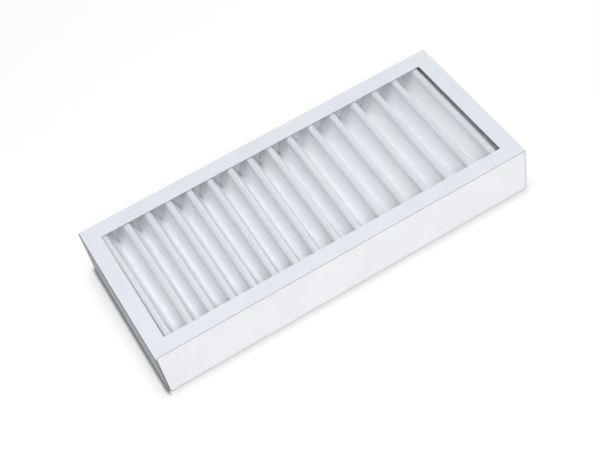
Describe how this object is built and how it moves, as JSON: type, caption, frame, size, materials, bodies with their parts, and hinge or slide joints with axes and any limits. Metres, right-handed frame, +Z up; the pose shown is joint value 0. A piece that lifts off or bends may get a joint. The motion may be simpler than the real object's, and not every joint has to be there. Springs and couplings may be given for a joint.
{
  "type": "pleated panel air filter",
  "caption": "Flat rectangular ventilation filter: a pleated sheet of white nonwoven media glued inside a folded white board frame with a rim round each open face.",
  "frame": {"origin": "middle of the face that the filter rests on", "axes": "+X along the long side, +Y across it, +Z up through the depth of the pleats; the pleats run along Y"},
  "size_m": [0.32, 0.141, 0.046],
  "materials": {
    "white_board": "satin white-lined board",
    "nonwoven_media": "matte white needled nonwoven",
    "hot_melt": "milky hot-melt glue"
  },
  "bodies": {
    "root": {"outer_tray": "white_board", "inner_tray": "white_board", "pleated_media": "nonwoven_media", "glue_left": "hot_melt", "glue_right": "hot_melt", "glue_front": "hot_melt", "glue_back": "hot_melt"}
  },
  "joints": []
}
